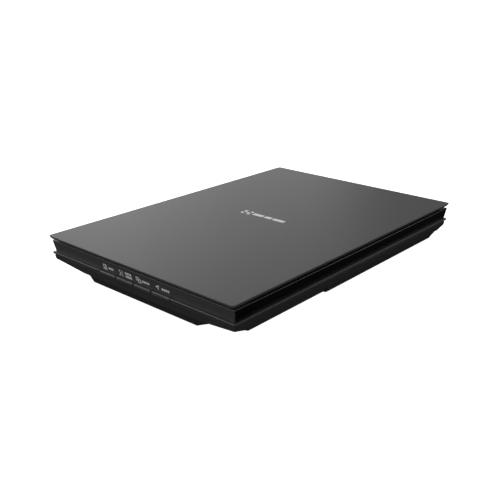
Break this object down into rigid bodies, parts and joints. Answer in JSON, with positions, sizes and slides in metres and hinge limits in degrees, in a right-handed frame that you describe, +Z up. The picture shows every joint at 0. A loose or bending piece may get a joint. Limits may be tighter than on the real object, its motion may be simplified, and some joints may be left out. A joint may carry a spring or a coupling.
{
  "type": "flatbed scanner",
  "caption": "Slim A4 flatbed scanner: flat hinged lid that also lifts, glass platen, sprung front push buttons, rubber feet, and a geared sensor carriage that runs under the glass.",
  "frame": {"origin": "centre of the bounding box's bottom face, on the surface that the feet stand on", "axes": "+X right, -Y front (button side), +Y rear (hinge side), +Z up"},
  "size_m": [0.2494, 0.3667, 0.042],
  "materials": {
    "lid_paint": "fine matte silver-grey paint on moulded plastic",
    "black_plastic": "finely textured black plastic",
    "gloss_black": "glossy black plastic",
    "bezel_grey": "satin dark grey plastic",
    "button_plastic": "satin dark grey plastic",
    "inner_plastic": "plain moulded black plastic",
    "natural_plastic": "natural acetal",
    "foam": "grey-white closed-cell foam",
    "white_sheet": "white backing film",
    "steel": "ground or plated steel",
    "brass": "sintered bronze and brass",
    "clear_glass": "clear float glass",
    "lens_glass": "dark lens array",
    "clear_acrylic": "clear acrylic light guide",
    "circuit_board": "green solder mask on fibreglass",
    "chip_black": "moulded epoxy",
    "flex_white": "white flat flexible cable",
    "rubber_black": "soft black rubber",
    "tape_black": "black foam tape",
    "label_silver": "blank silver film"
  },
  "bodies": {
    "base": {"bottom_case": "black_plastic", "top_case": "black_plastic", "front_bezel": "bezel_grey", "side_trim_left": "gloss_black", "side_trim_right": "gloss_black", "platen_glass": "clear_glass", "glass_tape": "tape_black", "calibration_strip": "white_sheet", "button_carrier": "inner_plastic", "button_board": "circuit_board", "button_switches": "chip_black", "button_cable": "flex_white", "guide_shaft": "steel", "shaft_clamps": "inner_plastic", "drive_rack": "natural_plastic", "main_board": "circuit_board", "board_screws": "steel", "board_chips": "chip_black", "flex_connector": "flex_white", "flat_flex_cable": "flex_white", "usb_socket": "steel", "case_screws": "steel", "rubber_feet": "rubber_black", "rating_label": "label_silver"},
    "hinge_lift": {"hinge_post_left": "black_plastic", "hinge_post_right": "black_plastic"},
    "lid": {"lid_top_panel": "lid_paint", "lid_inner_frame": "black_plastic", "document_pad": "foam", "document_sheet": "white_sheet", "lid_bumpers": "rubber_black", "hinge_arm_left": "black_plastic", "hinge_arm_right": "black_plastic", "hinge_pin_left": "steel", "hinge_pin_right": "steel", "hinge_screws": "steel"},
    "carriage": {"carriage_frame": "inner_plastic", "shaft_bushings": "brass", "cis_springs": "steel", "cis_housing": "inner_plastic", "cis_cover_glass": "clear_glass", "glide_shoes": "natural_plastic", "rod_lens_array": "lens_glass", "light_guide": "clear_acrylic", "led_module": "chip_black", "cis_board": "circuit_board", "sensor_chips": "chip_black", "gear_bracket": "steel", "gear_pins": "steel", "bracket_screws": "steel", "motor_housing": "steel"},
    "motor_rotor": {"motor_pinion": "brass"},
    "reduction": {"reduction_gear": "natural_plastic"},
    "drive": {"drive_gear": "natural_plastic"},
    "pdf_key": {"pdf_button": "button_plastic"},
    "auto_key": {"auto_button": "button_plastic"},
    "copy_key": {"copy_button": "button_plastic"},
    "mail_key": {"mail_button": "button_plastic"}
  },
  "joints": [
    {"name": "lid_lift", "type": "slide", "parent": "base", "child": "hinge_lift", "axis": [0, 0, 1], "range_m": [0, 0.012]},
    {"name": "lid_open", "type": "hinge", "parent": "hinge_lift", "child": "lid", "pos_m": [0, 0.1785, 0.0335], "axis": [-1, 0, 0], "range_deg": [0, 90]},
    {"name": "carriage_slide", "type": "slide", "parent": "base", "child": "carriage", "axis": [0, -1, 0], "range_m": [0, 0.3], "deforming": ["flat_flex_cable"]},
    {"name": "drive_spin", "type": "hinge", "parent": "carriage", "child": "drive", "pos_m": [-0.0448, 0.144, 0.007], "axis": [0, 0, 1], "range_deg": [-2389, 0]},
    {"name": "reduction_spin", "type": "hinge", "parent": "carriage", "child": "reduction", "pos_m": [-0.0334, 0.144, 0.008], "axis": [0, 0, 1], "range_deg": [0, 4094]},
    {"name": "motor_spin", "type": "hinge", "parent": "carriage", "child": "motor_rotor", "pos_m": [-0.0208, 0.144, 0.009], "axis": [0, 0, 1], "range_deg": [-10233, 0]},
    {"name": "pdf_press", "type": "slide", "parent": "base", "child": "pdf_key", "axis": [0, 1, 0], "range_m": [0, 0.0008], "stiffness_N_per_m": 800},
    {"name": "auto_press", "type": "slide", "parent": "base", "child": "auto_key", "axis": [0, 1, 0], "range_m": [0, 0.0008], "stiffness_N_per_m": 800},
    {"name": "copy_press", "type": "slide", "parent": "base", "child": "copy_key", "axis": [0, 1, 0], "range_m": [0, 0.0008], "stiffness_N_per_m": 800},
    {"name": "mail_press", "type": "slide", "parent": "base", "child": "mail_key", "axis": [0, 1, 0], "range_m": [0, 0.0008], "stiffness_N_per_m": 800}
  ],
  "couplings": [
    {"joint": "drive_spin", "follows": "carriage_slide", "rad_per_m": -138.89},
    {"joint": "reduction_spin", "follows": "carriage_slide", "rad_per_m": 238.1},
    {"joint": "motor_spin", "follows": "carriage_slide", "rad_per_m": -595.24}
  ]
}
